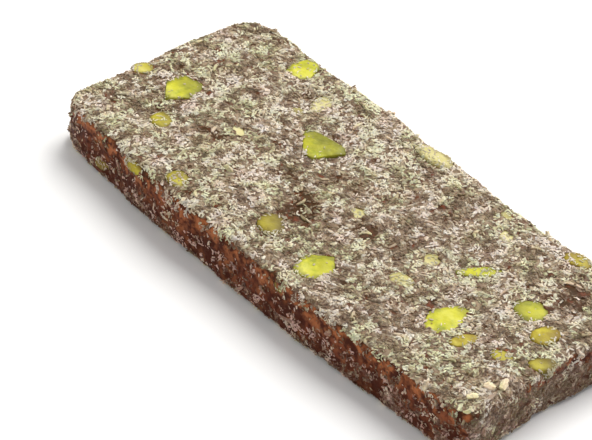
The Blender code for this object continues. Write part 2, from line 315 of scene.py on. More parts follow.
def mottled(tree, one, other, size, share=0.5, softness=0.1, stretch=(1, 1, 1), out="Colour"):
    """Places the mottling in a material with its own values."""
    values = {"One": one, "Other": other, "Size in mm": size, "Share of one": share}
    values |= {"Softness": softness, "Stretch": stretch}
    return put(tree, "ShaderNodeGroup", values, node_tree=mottle).outputs[out]


def patch_mask(tree, size, softness, share=0.5, stretch=(1, 1, 1)):
    """The patches of the mottling without colours: 0 in some and 1 in the others."""
    return mottled(tree, BLACK, WHITE, size, share, softness, stretch, out="Mask")


def new_finish(name, **values):
    """A material, its node tree and its Principled shader, with the values that are the same all over."""
    finish = bpy.data.materials.new(name)
    finish.use_nodes = True
    shader = finish.node_tree.nodes["Principled BSDF"]
    for socket, value in values.items():
        shader.inputs[socket.replace("_", " ")].default_value = value
    return finish, finish.node_tree, shader


def bumps(tree, shader, height, distance, strength):
    """Fine relief that is too small for the mesh."""
    bump = put(tree, "ShaderNodeBump", {"Height": height, "Distance": distance, "Strength": strength})
    tree.links.new(bump.outputs[0], shader.inputs["Normal"])


HONEY = (0.360, 0.120, 0.044, 1)
AMBER = (0.250, 0.086, 0.034, 1)
RUST = (0.160, 0.042, 0.018, 1)
MAROON = (0.056, 0.013, 0.006, 1)
UMBER = (0.058, 0.029, 0.012, 1)
CREAM_POWDER = (0.330, 0.250, 0.165, 1)
CREAM_POWDER_SOAKED = (0.165, 0.108, 0.072, 1)
PINK_POWDER = (0.290, 0.165, 0.120, 1)
PINK_POWDER_SOAKED = (0.150, 0.075, 0.055, 1)
paste_finish, tree, shader = new_finish(
    "carrot_paste",
    Subsurface_Weight=0.30,
    Subsurface_Radius=(1.0, 0.35, 0.15),
    Subsurface_Scale=0.7 * MM,
    Specular_IOR_Level=0.04,
    Coat_Weight=0.01,
    Coat_Roughness=0.12,
)
flesh = mottled(tree, MAROON, RUST, size=7.0, share=0.48, softness=0.04)
flesh = mottled(tree, flesh, AMBER, size=2.8, share=0.54, softness=0.08)
cut_side = attribute(tree, "cut_side")
flesh = blend(tree, cut_side, mottled(tree, UMBER, RUST, size=1.6, share=0.54, softness=0.10), flesh)

# Painted light: the glow of light through the paste under the rim of a cut side is painted into its colour,
# in honey patches. Painted shade: little light comes through low down, so the foot of a cut side is painted
# darker.
place = put(tree, "ShaderNodeTexCoord").outputs["Object"]
height = put(tree, "ShaderNodeSeparateXYZ", {0: place}).outputs["Z"]
painted_glow = remap(tree, height, low=5.6 * MM, high=8.8 * MM, to_high=1.5)
painted_glow = reckon(tree, "MULTIPLY", painted_glow, patch_mask(tree, size=2.2, share=0.44, softness=0.18))
flesh = blend(tree, reckon(tree, "MULTIPLY", painted_glow, cut_side), flesh, HONEY)
dark_strands = blend(tree, cut_side, UMBER, MAROON)
flesh = mottled(tree, flesh, dark_strands, size=1.8, share=0.52, softness=0.09)
flesh = mottled(tree, flesh, dark_strands, size=0.9, share=0.57, softness=0.12)
# Painted shade: the paste is darkened towards maroon along the foot of a cut side.
painted_foot_shade = reckon(tree, "MULTIPLY", remap(tree, height, low=5.5 * MM, high=1.0 * MM), cut_side)
flesh = blend(tree, remap(tree, painted_foot_shade, to_high=0.60), flesh, MAROON)

# Coconut powder clings where the grains lie thick: cream on the coated faces and pinkish on the cut sides.
powder_share = remap(tree, attribute(tree, "dusted"), low=0.20, high=0.60, to_low=0.26, to_high=0.60)
powder = patch_mask(tree, size=0.60, share=powder_share, softness=0.10)
cream_powder = mottled(tree, CREAM_POWDER, CREAM_POWDER_SOAKED, size=1.6, share=0.48, softness=0.10)
pink_powder = mottled(tree, PINK_POWDER, PINK_POWDER_SOAKED, size=1.6, share=0.48, softness=0.10)
powder_tint = blend(tree, cut_side, cream_powder, pink_powder)
tree.links.new(blend(tree, powder, powder_tint, flesh), shader.inputs["Base Color"])
sticky = patch_mask(tree, size=0.9, softness=0.2)
tree.links.new(remap(tree, sticky, to_low=0.25, to_high=0.55), shader.inputs["Roughness"])
strands = patch_mask(tree, size=0.45, softness=0.5, stretch=(1.3, 1.3, 0.5))
bumps(tree, shader, strands, distance=0.12 * MM, strength=0.6)


# -------- The pistachio kernels
# Shelled pistachios, chopped into chunks and stirred into the hot paste. Those at a face of the slab show a
# cut face, nearly flush with it: yellow green inside, greener or browner towards the skin.

FIT_GAP = 0.10 * MM  # between a kernel and the paste that has shrunk round it
KERNEL_DEPTH = 2.6 * MM
CUT_FACE_RISE = 0.35 * MM
BLUNT_BELOW = 0.25
UNEVEN = 0.16
UNEVEN_TURNS = 1.3
KERNEL_STEP = Vector((1.0, 2.7, 1.3))
KERNEL_DETAIL = 0.21 * MM
KERNEL_LUMPS = ((2.4 * MM, 0.30 * MM), (0.7 * MM, 0.08 * MM))
POCKET_FACES = 0.3  # how many of its kernel's faces a pocket keeps
TOP_KERNELS = (  # in mm and degrees: x, y, length, width, turn, how far it is sunk, tint
    (-50.0, -5.1, 4.2, 3.4, 60, 0.1, "olive"),
    (-41.1, -3.5, 8.6, 6.6, -80, 0.0, "bright"),
    (-36.0, -12.1, 5.0, 4.2, -30, 0.0, "olive"),
    (-21.7, -20.1, 5.2, 4.2, -35, 0.3, "olive"),
    (-33.2, 18.0, 7.6, 5.4, -70, 0.0, "bright"),
    (-23.2, 14.0, 6.0, 4.0, -75, 0.2, "pale"),
    (-24.3, 8.9, 3.4, 2.8, 10, 0.3, "pale"),
    (-14.2, 5.4, 9.2, 8.0, 12, 0.0, "bright"),
    (-0.4, 19.5, 8.8, 3.8, 2, 0.0, "pale"),
    (-3.5, -14.9, 5.8, 5.0, -38, 0.0, "olive"),
    (9.2, -15.9, 8.2, 6.4, 82, 0.0, "bright"),
    (18.8, 0.5, 4.6, 3.6, 60, 0.3, "pale"),
    (20.0, -7.1, 4.6, 3.4, 20, 0.3, "pale"),
    (26.5, 5.2, 8.2, 2.8, 53, 0.1, "bright"),
    (31.5, -7.5, 9.6, 6.8, 82, 0.0, "bright"),
    (37.1, -9.2, 5.4, 2.8, 69, 0.1, "mustard"),
    (38.6, 4.3, 6.0, 5.4, 30, 0.0, "bright"),
    (44.5, 1.6, 5.4, 4.4, 70, 0.0, "mustard"),
    (43.3, -6.8, 5.0, 3.2, 10, 0.2, "olive"),
    (48.9, -3.4, 4.6, 3.4, 60, 0.1, "olive"),
    (22.2, 14.9, 3.8, 2.8, -50, 0.3, "pale"),
    (18.5, 18.3, 3.6, 2.6, -40, 0.3, "pale"),
    (34.0, 19.8, 5.2, 3.4, 10, 0.1, "mustard"),
    (-25.9, -3.4, 3.8, 2.8, -20, 0.3, "pale"),
    (3.2, -1.2, 4.4, 3.4, 45, 0.3, "pale"),
    (-43.0, 13.5, 3.4, 2.8, 30, 0.3, "pale"),
)
UNDER_KERNELS = (  # the same
    (-38.0, 9.0, 7.4, 5.6, 25, 0.1, "bright"),
    (-27.0, -9.5, 5.6, 4.4, -50, 0.1, "olive"),
    (-9.0, 2.0, 8.0, 6.2, 70, 0.1, "bright"),
    (6.0, 13.5, 5.0, 4.0, 10, 0.1, "mustard"),
    (17.0, -10.0, 7.6, 5.8, -20, 0.1, "bright"),
    (33.0, 6.0, 6.4, 5.0, 35, 0.1, "olive"),
    (43.5, -12.0, 4.8, 3.6, -60, 0.1, "pale"),
)
SIDE_KERNELS = (  # side, place along it, height, length, width, turn, tint
    ("front", -39.2, 2.8, 4.4, 2.6, 20, "mustard"),
    ("front", -29.2, 8.3, 5.6, 2.6, 0, "mustard"),
    ("front", 8.6, 7.6, 4.4, 2.6, -10, "mustard"),
    ("back", -20.0, 4.6, 5.2, 3.2, 15, "olive"),
    ("back", 24.0, 5.6, 6.0, 3.4, -20, "bright"),
    ("near", 9.0, 4.4, 4.2, 2.8, 25, "mustard"),
    ("far", 7.5, 5.6, 4.6, 3.0, -15, "olive"),
)
CHOPPED = {  # by a kernel's number: the way that each flat side of it faces, and its distance from the middle
    2: ((-35, 2.9), (-132, 2.7), (95, 3.7)),
    5: ((20, 2.3), (170, 2.4)),
    8: ((97, 2.5), (-23, 3.1), (-132, 3.0)),
    10: ((75, 2.2), (-165, 2.3)),
    11: ((48, 2.9), (138, 2.8), (-80, 3.7)),
    15: ((152, 2.9), (108, 4.0), (-3, 2.9), (-41, 3.7), (-150, 3.2)),
    17: ((135, 2.2), (-100, 2.5)),
    18: ((0, 1.9), (150, 2.0)),
}
SIDE_TURN = 137.5  # from the flat side of one kernel to that of the next, in degrees
SIDE_CUT = 0.8  # distance of a flat side from the middle, in half widths
LEAST_CHOPPED = 4.0 * MM  # narrower kernels have no flat side
DOWN = Vector((0.0, 0.0, -1.0))
INTO = {  # the way into the slab from each of its faces
    "top": DOWN,
    "under": -DOWN,
    "front": Vector((0.0, 1.0, 0.0)),
    "back": Vector((0.0, -1.0, 0.0)),
    "near": Vector((-1.0, 0.0, 0.0)),
    "far": Vector((1.0, 0.0, 0.0)),
}


def seen_from(face, place, solid=tray):
    """Where a line into the slab from one side meets a solid, and the normal and number of the face there."""
    found, normal, index, _ = solid.ray_cast(place - INTO[face] * PASTE_LENGTH, INTO[face])
    return found, normal, index


def standing_on(point, normal, turn):
    """The matrix that stands a shape on a surface, turned from the X axis, or on an end from the Y axis."""
    level_way = Vector((0.0, 1.0, 0.0)) if abs(normal.x) > FACING else Vector((1.0, 0.0, 0.0))
    across = normal.cross(level_way).normalized()
    upright = Matrix((across.cross(normal), across, normal)).transposed().to_4x4()
    return Matrix.Translation(point) @ upright @ Matrix.Rotation(turn, 4, "Z")


def flat_sides(number, width, turn):
    """The way in which each flat side of a kernel faces, from the kernel's own X axis, and its distance."""
    if number in CHOPPED:
        return [(math.radians(way - turn), distance * MM) for way, distance in CHOPPED[number]]
    if width < LEAST_CHOPPED:
        return []
    return [(math.radians(SIDE_TURN * number), SIDE_CUT * width / 2)]


def chopped_kernel(number, length, width, turn):
    """One chunk of kernel round the origin, with its cut face up."""
    bpy.ops.object.select_all(action="DESELECT")
    bpy.ops.mesh.primitive_ico_sphere_add(subdivisions=5, radius=1)
    kernel = bpy.context.object
    kernel.name = f"kernel_{number:02d}"
    for point in kernel.data.vertices:
        spread = 1 + UNEVEN * noise.noise(point.co * UNEVEN_TURNS + KERNEL_STEP * number)
        above = max(point.co.z, 0.0)
        below = min(point.co.z, 0.0)
        spread *= 1 + BLUNT_BELOW * below * below
        point.co.x *= spread * length / 2
        point.co.y *= spread * width / 2
        point.co.z = below * KERNEL_DEPTH + (above - 1) * CUT_FACE_RISE
    edit(kernel)
    for way, distance in flat_sides(number, width, turn):
        facing = Vector((math.cos(way), math.sin(way), 0.0))
        bpy.ops.mesh.select_all(action="SELECT")
        bpy.ops.mesh.bisect(plane_co=facing * distance, plane_no=facing, use_fill=True, clear_outer=True)
    done()
    return kernel


def kernel_rows():
    """Where each kernel stands, and its length, width, turn and tint, in the order of their numbers."""
    rows = []
    for face, kernels, rise in (("top", TOP_KERNELS, CUT_FACE_RISE), ("under", UNDER_KERNELS, 0.0)):
        for x, y, length, width, turn, sunk, tint in kernels:
            point, normal, _ = seen_from(face, Vector((x * MM, y * MM, 0.0)))
            if abs(normal.z) < LEVEL:
                normal = -INTO[face]
            stand = standing_on(point - INTO[face] * (rise - sunk * MM), normal, math.radians(turn))
            rows.append((stand, length * MM, width * MM, turn, tint))
    for face, along, height, length, width, turn, tint in SIDE_KERNELS:
        is_long_side = face in ("front", "back")
        spot = Vector((along * is_long_side, along * (not is_long_side), height)) * MM
        point, _, _ = seen_from(face, spot)
        stand = standing_on(point, -INTO[face], math.radians(turn))
        rows.append((stand, length * MM, width * MM, turn, tint))
    return rows


KERNEL_TINTS = {  # the middle of a cut face, its patches, its edge towards the skin and its palest side
    "bright": ((0.52, 0.50, 0.022), (0.30, 0.33, 0.010), (0.17, 0.165, 0.010), (0.68, 0.65, 0.130)),
    "olive": ((0.43, 0.37, 0.030), (0.29, 0.235, 0.018), (0.14, 0.10, 0.012), (0.56, 0.50, 0.110)),
    "mustard": ((0.48, 0.41, 0.022), (0.35, 0.27, 0.014), (0.20, 0.13, 0.010), (0.60, 0.51, 0.120)),
    "pale": ((0.52, 0.46, 0.170), (0.39, 0.34, 0.110), (0.26, 0.21, 0.070), (0.66, 0.60, 0.320)),
}
SHADED = {  # by number: from 0 to 1 for a kernel with the colour of its edge, below 0 towards its palest side
    1: -0.30, 2: 0.15, 3: 0.45, 4: 0.30, 7: 0.60, 8: 0.45, 9: -0.10, 10: 0.78, 11: 0.08, 12: -0.20,
    16: 0.15, 17: 0.55, 18: 0.42, 19: 0.20, 20: 0.64, 21: -0.35, 23: 0.55, 24: -0.50, 25: -0.30,
    34: 0.85, 35: 0.00, 36: 0.85,
}
GRADED = {  # by number: the way in which a kernel grows darker, in degrees, and how much by its edge. This is partly the kernel's own colour and partly painted shadow, which the coating's rim casts on the side of a sunken kernel towards the window; it also makes the other side paler
    1: (100, 0.70), 2: (75, 0.85), 3: (60, 0.35), 4: (120, 0.45), 5: (135, 0.35), 7: (30, 0.40),
    8: (85, 0.75), 10: (60, 0.40), 11: (120, 0.45), 14: (100, 0.50), 17: (150, 0.45), 18: (20, 0.55),
    20: (100, 0.65), 23: (100, 0.60),
}
# the same for the other kernels: painted shadow of the rim on the side towards the window, and paler on the
# other side
OTHERS_GRADED = (105, 0.30)
SKIN_DEPTH = (4, 0.6)  # how fast a kernel's side takes the colour of its edge with depth, and from what start
kernel_finishes = {}
for tint, colours in KERNEL_TINTS.items():
    inside, patch, edge, palest = [(*colour, 1) for colour in colours]
    finish, tree, shader = new_finish(
        f"pistachio_{tint}",
        Subsurface_Weight=0.20,
        Subsurface_Radius=(1.0, 0.9, 0.25),
        Subsurface_Scale=0.8 * MM,
        Specular_IOR_Level=0.22,
    )
    flesh = mottled(tree, inside, patch, size=2.6, share=0.56, softness=0.09)
    flesh = mottled(tree, flesh, inside, size=0.7, share=0.58, softness=0.12)
    drift = remap(tree, patch_mask(tree, size=4.0, softness=0.15), to_low=-0.30, to_high=0.30)
    shade = reckon(tree, "ADD", attribute(tree, "shade"), drift)
    flesh = blend(tree, remap(tree, shade, high=-0.6), flesh, palest)
    flesh = blend(tree, remap(tree, shade), flesh, edge)
    wander = remap(tree, patch_mask(tree, size=1.6, softness=0.25), to_low=-0.22, to_high=0.22)
    skin = remap(tree, reckon(tree, "ADD", attribute(tree, "to_skin"), wander), low=0.62, high=1.02)
    tree.links.new(blend(tree, skin, flesh, edge), shader.inputs["Base Color"])
    waxy = patch_mask(tree, size=1.1, softness=0.3)
    tree.links.new(remap(tree, waxy, to_low=0.34, to_high=0.60), shader.inputs["Roughness"])
    grainy = patch_mask(tree, size=0.35, softness=0.5)
    bumps(tree, shader, grainy, distance=0.06 * MM, strength=0.7)
    kernel_finishes[tint] = finish


def mark(mesh, name, values):
    """Gives each point of a mesh a value of its own, which its finish reads."""
    mesh.attributes.new(name, "FLOAT", "POINT").data.foreach_set("value", values)


kernels = []
kernel_spots = []
pockets = bpy.data.collections.new("pockets")
bpy.context.scene.collection.children.link(pockets)
for number, (stand, length, width, turn, tint) in enumerate(kernel_rows(), start=1):
    kernel = chopped_kernel(number, length, width, turn)
    remesh(kernel, KERNEL_DETAIL)
    treat(kernel, "SMOOTH", factor=0.5, iterations=3)
    points = kernel.data.vertices
    outwards = [math.hypot(2 * point.co.x / length, 2 * point.co.y / width) for point in points]
    depths = [max(0.0, -point.co.z - CUT_FACE_RISE) / KERNEL_DEPTH for point in points]
    set_down(kernel, IN_FRAME @ stand)
    for lump_width, lump_height in KERNEL_LUMPS:
        roughen(kernel, lump_width, lump_height)
    faster, start = SKIN_DEPTH
    skin = [max(out, min(1.0, faster * depth + start) * (depth > 0)) for out, depth in zip(outwards, depths)]
    mark(kernel.data, "to_skin", skin)
    # Painted shadow and light, partly the kernel's own colour: the shade rises across each kernel towards its
    # darker way.
    way, steepness = GRADED.get(number, OTHERS_GRADED)
    darker_way = Vector((math.cos(math.radians(way)), math.sin(math.radians(way)), 0.0))
    steepness *= 4 / (length + width)
    middle = TRAY_TO_FRAME + stand.translation
    shaded = SHADED.get(number, 0.0)
    shade = [shaded + steepness * darker_way.dot(point.co - middle) for point in kernel.data.vertices]
    mark(kernel.data, "shade", shade)
    bpy.ops.object.shade_smooth()
    kernel.data.materials.append(kernel_finishes[tint])
    bpy.ops.object.duplicate()
    pocket = bpy.context.object
    treat(pocket, "DISPLACE", strength=FIT_GAP, mid_level=0.0)
    treat(pocket, "DECIMATE", ratio=POCKET_FACES)
    for holder in list(pocket.users_collection):
        holder.objects.unlink(pocket)
    pockets.objects.link(pocket)
    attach(kernel, "root")
    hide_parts(f"pistachio_{number:02d}")
    kernels.append((kernel, tint, (IN_FRAME @ stand).inverted(), length, width))
    kernel_spots.append((stand.translation.copy(), (length + width) / 4))

cut_out = {"operation": "DIFFERENCE", "operand_type": "COLLECTION", "collection": pockets}
treat(paste, "BOOLEAN", solver="MANIFOLD", **cut_out)
for pocket in list(pockets.objects):
    bpy.data.objects.remove(pocket)
bpy.data.collections.remove(pockets)
paste.data.materials.clear()
paste.data.materials.append(paste_finish)
only(paste)
bpy.ops.object.shade_smooth_by_angle(angle=math.radians(50))
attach(paste, "root")
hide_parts("slab")


# -------- The largest shreds of coconut
# Coconut comes dried and shredded, and the longest strips stick flat to the paste when the slab is rolled in
# it. They taper to both ends and curl a little.

SHRED_SEED = 18
LOOK_SEED = 7  # for the forms of the shreds and grains, and the tones of the shreds and lumps
SHREDS = {"top": 112, "front": 10, "back": 10, "near": 6, "far": 6}  # how many are tried on each face
SHRED_LENGTH = (1.5 * MM, 3.4 * MM)
SHRED_WIDTH = (0.55 * MM, 0.95 * MM)
SHRED_THICKNESS = 0.60 * MM
SHRED_RISE = 0.08 * MM
SHRED_SPACING = 3.6 * MM
SHRED_TO_KERNEL = 1.9 * MM
SHRED_BEND = 0.6
SHRED_TAPER = (0.36, 0.54)
SHRED_TILT = 0.12
SHRED_BAND = (0.2, 0.85)
SHRED_TRIES = 60
SHRED_POINTS = 12  # draws of the taper for each shred
SHRED_PATTERNS = 6
SHRED_FORM = {"sides": 5, "cuts": 3, "taper": 0.0, "bend": 0.0, "ragged": 0.05}
SHRED_TONES = (0.30, 0.75)
SHRED_SOAKING = (0.0, 0.3)
SIDE_SHRED_DARKER = 0.32
SIDE_SHRED_SOAKED = 0.7


def shred_spot(face, rng):
    """A place near one face, drawn by chance."""
    x = rng.uniform(-PASTE_LENGTH, PASTE_LENGTH) / 2
    y = rng.uniform(-FAR_END_WIDTH, FAR_END_WIDTH) / 2
    z = rng.uniform(*SHRED_BAND) * PASTE_THICKNESS
    if face == "top":
        return Vector((x, y, PASTE_THICKNESS))
    if face in ("front", "back"):
        return Vector((x, 0.0, z))
    return Vector((0.0, y, z))


def free_spot(face, length, taken, rng):
    """A place for a shred on one face, apart from the others and clear of the kernels, if one is found."""
    for _ in range(SHRED_TRIES):
        point, normal, _ = seen_from(face, shred_spot(face, rng))
        if point is None or normal.dot(INTO[face]) > -FACING:
            continue
        if any((point - other).length < SHRED_SPACING for other in taken):
            continue
        reach = length / 3 + SHRED_TO_KERNEL
        if all((point - middle).length > radius + reach for middle, radius in kernel_spots):
            return point, normal
    return None, None


def grain_pattern(sides, cuts, taper, bend, ragged, rng):
    """One coconut grain that is 1 long, 1 wide and 1 thick: its points and its faces."""
    bpy.ops.object.select_all(action="DESELECT")
    bpy.ops.mesh.primitive_cylinder_add(vertices=sides, radius=0.5, depth=1, rotation=(0, math.pi / 2, 0))
    grain = bpy.context.object
    bpy.ops.object.transform_apply(location=False, rotation=True, scale=False)
    if cuts:
        edit(grain)
        pick_edges(grain, lambda edge: abs(edge.verts[0].co.x - edge.verts[1].co.x) > 0.5)
        bpy.ops.mesh.subdivide(number_cuts=cuts)
        done()
    for point in grain.data.vertices:
        out = 2 * point.co.x
        narrow = 1 - taper * out * out
        point.co.y = point.co.y * narrow + bend * out * out
        point.co.z *= narrow
        point.co += Vector([rng.uniform(-ragged, ragged) for _ in range(3)])
    edit(grain)
    bpy.ops.mesh.select_all(action="SELECT")
    bpy.ops.mesh.quads_convert_to_tris()
    done()
    points = np.array([point.co[:] for point in grain.data.vertices])
    faces = np.array([list(face.vertices) for face in grain.data.polygons])
    bpy.data.objects.remove(grain)
    return points, faces


def joined_grains(name, batches):
    """One piece of many grains. Each batch of one pattern has its points, faces, tones and soaking."""
    points, faces, tones, soaking = [], [], [], []
    start = 0
    for places, pattern_faces, batch_tones, batch_soaking in batches:
        count, corners, _ = places.shape
        points.append(places.reshape(-1, 3))
        faces.append((pattern_faces[None] + corners * np.arange(count)[:, None, None]).reshape(-1, 3) + start)
        tones.append(np.repeat(batch_tones, corners))
        soaking.append(np.repeat(batch_soaking, corners))
        start += count * corners
    points = np.concatenate(points)
    points[:, 2] = np.maximum(points[:, 2], 0.0)
    mesh = bpy.data.meshes.new(name)
    mesh.from_pydata(points, [], np.concatenate(faces))
    mark(mesh, "tone", np.concatenate(tones))
    mark(mesh, "soaked", np.concatenate(soaking))
    mesh.materials.append(coconut_finish)
    mesh.validate()
    grains = bpy.data.objects.new(name, mesh)
    bpy.context.scene.collection.objects.link(grains)
    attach(grains, "root")
    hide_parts("slab")
    return grains


COCONUT_TONES = (  # from fresh coconut, at 0, to the brown of its skin, at 1
    (0.00, (0.920, 0.790, 0.600, 1)),
    (0.30, (0.630, 0.540, 0.390, 1)),
    (0.55, (0.420, 0.353, 0.252, 1)),
    (0.75, (0.300, 0.232, 0.155, 1)),
    (0.90, (0.190, 0.130, 0.076, 1)),
    (1.00, (0.120, 0.070, 0.038, 1)),
)
COOL_TINGE = (1.00, 0.95, 0.97, 1)
GREEN_TINGE = (0.86, 0.97, 0.73, 1)
SOAKED_TINGE = (0.84, 0.55, 0.60, 1)
BROWN_SKIN = (0.48, 0.36, 0.22, 1)
coconut_finish, tree, shader = new_finish(
    "coconut",
    Subsurface_Weight=0.8,
    Subsurface_Radius=(1.0, 0.9, 0.7),
    Subsurface_Scale=0.5 * MM,
    Specular_IOR_Level=0.3,
)
ramp = put(tree, "ShaderNodeValToRGB", {"Fac": attribute(tree, "tone")})
while len(ramp.color_ramp.elements) < len(COCONUT_TONES):
    ramp.color_ramp.elements.new(0.5)
for stop, (at, colour) in zip(ramp.color_ramp.elements, COCONUT_TONES):
    stop.position = at
    stop.color = colour
greenish = mottled(tree, COOL_TINGE, GREEN_TINGE, size=5.5, share=0.5, softness=0.09)
tinge = blend(tree, attribute(tree, "soaked"), greenish, SOAKED_TINGE)
flesh = blend(tree, 1.0, ramp.outputs[0], tinge, way="MULTIPLY")
flesh = mottled(tree, flesh, BROWN_SKIN, size=0.6, share=0.64, softness=0.12)
tree.links.new(flesh, shader.inputs["Base Color"])
dry = patch_mask(tree, size=0.6, softness=0.3)
tree.links.new(remap(tree, dry, to_low=0.45, to_high=0.75), shader.inputs["Roughness"])
fibres = patch_mask(tree, size=0.15, softness=0.5)
bumps(tree, shader, fibres, distance=0.03 * MM, strength=0.3)

rng = random.Random(SHRED_SEED)
look_rng = random.Random(LOOK_SEED)
shred_patterns = [grain_pattern(rng=look_rng, **SHRED_FORM) for _ in range(SHRED_PATTERNS)]
shortest, longest = SHRED_LENGTH
taken = []
shreds = []
for face, count in SHREDS.items():
    for number in range(count):
        length = shortest + (longest - shortest) * (1 - number / count) ** 2
        point, normal = free_spot(face, length, taken, rng)
        if point is None:
            continue
        taken.append(point)
        width = rng.uniform(*SHRED_WIDTH)
        bend = rng.uniform(-SHRED_BEND, SHRED_BEND)
        taper = sum(rng.uniform(*SHRED_TAPER) for _ in range(SHRED_POINTS)) / SHRED_POINTS
        lie = standing_on(point + normal * SHRED_RISE, normal, rng.uniform(0, math.pi))
        tilt = Matrix.Rotation(rng.uniform(-SHRED_TILT, SHRED_TILT), 4, "Y")
        lie = np.array(IN_FRAME @ lie @ tilt)
        pattern, faces = look_rng.choice(shred_patterns)
        out = 2 * pattern[:, 0]
        narrow = 1 - taper * out * out
        local = np.stack([
            pattern[:, 0] * length,
            pattern[:, 1] * narrow * width + bend * width * out * out,
            pattern[:, 2] * narrow * SHRED_THICKNESS,
        ], axis=1)
        place = local @ lie[:3, :3].T + lie[:3, 3]
        on_side = face != "top"
        tone = look_rng.uniform(*SHRED_TONES) + SIDE_SHRED_DARKER * on_side
        soaked = look_rng.uniform(*SHRED_SOAKING) + SIDE_SHRED_SOAKED * on_side
        shreds.append((place[None], faces, np.array([tone]), np.array([soaked])))
shreds_piece = joined_grains("coconut_shreds", shreds)


# -------- The fine desiccated coconut
# The slab is rolled in fine desiccated coconut while it is sticky: dust, crumbs, slivers and flakes up to
# about 1 mm long. They lie thick on the top and the underside, thicker along the rims, and thin on the cut
# sides, where most are knocked off again, and on the kernels.

LEVEL_COVER = 0.92  # how much of the coconut sticks, from 0 to 1
BARE_PATCHES = (  # on the top, in mm and degrees: x, y, half length, half width, turn
    (-3.2, -8.6, 4.6, 2.6, -70),
    (7.4, -3.6, 2.8, 1.7, -35),
    (-29.2, -7.8, 2.0, 1.1, 40),
    (-25.6, -7.6, 1.6, 1.0, 0),
    (40.6, 12.6, 3.6, 2.4, -45),
    (-26.9, 13.9, 1.6, 1.0, 0),
    (-38.6, -10.0, 1.6, 0.9, 0),
)
LEFT_ON_PATCH = 0.30
PATCH_EDGE = (0.60, 0.70)  # where it starts, in half widths from the middle, and how wide it is
PATCH_WANDER = 0.35
LONG_SIDE_COVER = (0.06, 0.06)  # at the far end, and how much more at the near end
LOW_COVER = (0.30, 0.28)  # the same, for what the foot of a long side has more
RIM_COVER = 0.50  # what its rim has more
FOOT_ENDS = (3.0, 4.0)  # in mm: where it starts to end, and over how much it does
RIM_STARTS = (7.9, 1.4)
NEAR_STARTS = (5.0, 45.0)
RIM_WANDER = 2.0
LONG_SIDE_CLUMPS = 2.8
END_COVER = 0.85
END_CLUMPS = 1.4
BAND_COVER = 0.65  # what the bare band of the near end has less
BAND_STARTS = (-12.0, 10.0)  # along Y
BAND_HEIGHT = 8.2
BAND_HALF_WIDTH = 1.8
COVER_ON_KERNEL = {"bright": 0.02, "olive": 0.24, "mustard": 0.16, "pale": 0.50}
COVER_ON_KERNEL_EDGE = 0.85
KERNEL_EDGE = (0.72, 0.28)
THICKER_ON = {  # by a kernel's number: what it has more, or less where it is below 0
    3: 0.02, 4: 0.30, 5: 0.12, 7: -0.35, 10: -0.20, 14: 0.35, 18: -0.10, 23: 0.30, 24: -0.40, 34: 0.35,
    36: 0.30,
}
CLUMPS = ((7.0 * MM, 0.20), (2.8 * MM, 0.50), (1.4 * MM, 0.75))  # how wide and how strong each size is
LONG_SIDE_DUSTED = 0.5
SHOWING_PASTE = {"front": 1.0, "back": 0.38}  # how clear the paste of each cut side shows, and how much of the painted glow and painted shade it takes
END_SHOWING_PASTE = 0.35
UPRIGHT_SHOWS = 1.4
LEVEL_HIDES = 1.8
owners = []  # for each face of the solids: the number of its kernel, or 0 for the paste and its shreds
solid_points = []
solid_faces = []
for owner, piece in enumerate([paste] + [kernel[0] for kernel in kernels] + [shreds_piece]):
    start = len(solid_points)
    solid_points.extend(point.co.copy() for point in piece.data.vertices)
    solid_faces.extend([start + index for index in face.vertices] for face in piece.data.polygons)
    owners.extend([owner % (len(kernels) + 1)] * len(piece.data.polygons))
bare_slab = BVHTree.FromPolygons(solid_points, solid_faces)


def part_way(value, start, over):
    """How far a value is past a start, from 0 there to 1."""
    return min(1.0, max(0.0, (value - start) / over))


def bare_band(face, y, z):
    """How bare an end is: it is rubbed bare under the rim on the back half of the near end."""
    if face != "near":
        return 0.0
    return part_way(y, *BAND_STARTS) * max(0.0, 1.0 - abs(z - BAND_HEIGHT) / BAND_HALF_WIDTH)


def cover_on_kernel(owner, point):
    """How much of the coconut sticks at a place on a kernel: more towards its edge."""
    _, tint, to_kernel, length, width = kernels[owner - 1]
    place = to_kernel @ point
    out = math.hypot(2 * place.x / length, 2 * place.y / width)
    held = COVER_ON_KERNEL[tint] + THICKER_ON.get(owner, 0.0)
    return held + COVER_ON_KERNEL_EDGE * part_way(out, *KERNEL_EDGE)


def left_by_patches(x, y, clump):
    """How much of the coconut the bare patches leave at a place on the top."""
    share = 1.0
    for at_x, at_y, half_length, half_width, turn in BARE_PATCHES:
        turn = math.radians(turn)
        along = (x - at_x) * math.cos(turn) + (y - at_y) * math.sin(turn)
        across = (y - at_y) * math.cos(turn) - (x - at_x) * math.sin(turn)
        off = math.hypot(along / half_length, across / half_width) + PATCH_WANDER * clump
        share *= max(LEFT_ON_PATCH, part_way(off, *PATCH_EDGE))
    return share


def cover(face, point, owner):
    """How much of the coconut sticks at a place on the slab, from 0 to 1."""
    x, y, z = (point - TRAY_TO_FRAME) / MM
    clump = sum(height * noise.noise(point / width) for width, height in CLUMPS)
    if owner:
        return cover_on_kernel(owner, point) * (1 + clump)
    if face == "top":
        return (LEVEL_COVER + clump) * left_by_patches(x, y, clump)
    if face == "under":
        return LEVEL_COVER + clump
    if face in ("near", "far"):
        return (END_COVER - BAND_COVER * bare_band(face, y, z)) * (1 + END_CLUMPS * clump)
    near = part_way(x, *NEAR_STARTS)
    held = LONG_SIDE_COVER[0] + LONG_SIDE_COVER[1] * near
    held += (LOW_COVER[0] + LOW_COVER[1] * near) * (1 - part_way(z, *FOOT_ENDS))
    held += RIM_COVER * part_way(z + RIM_WANDER * clump, *RIM_STARTS)
    return held * (1 + LONG_SIDE_CLUMPS * clump)


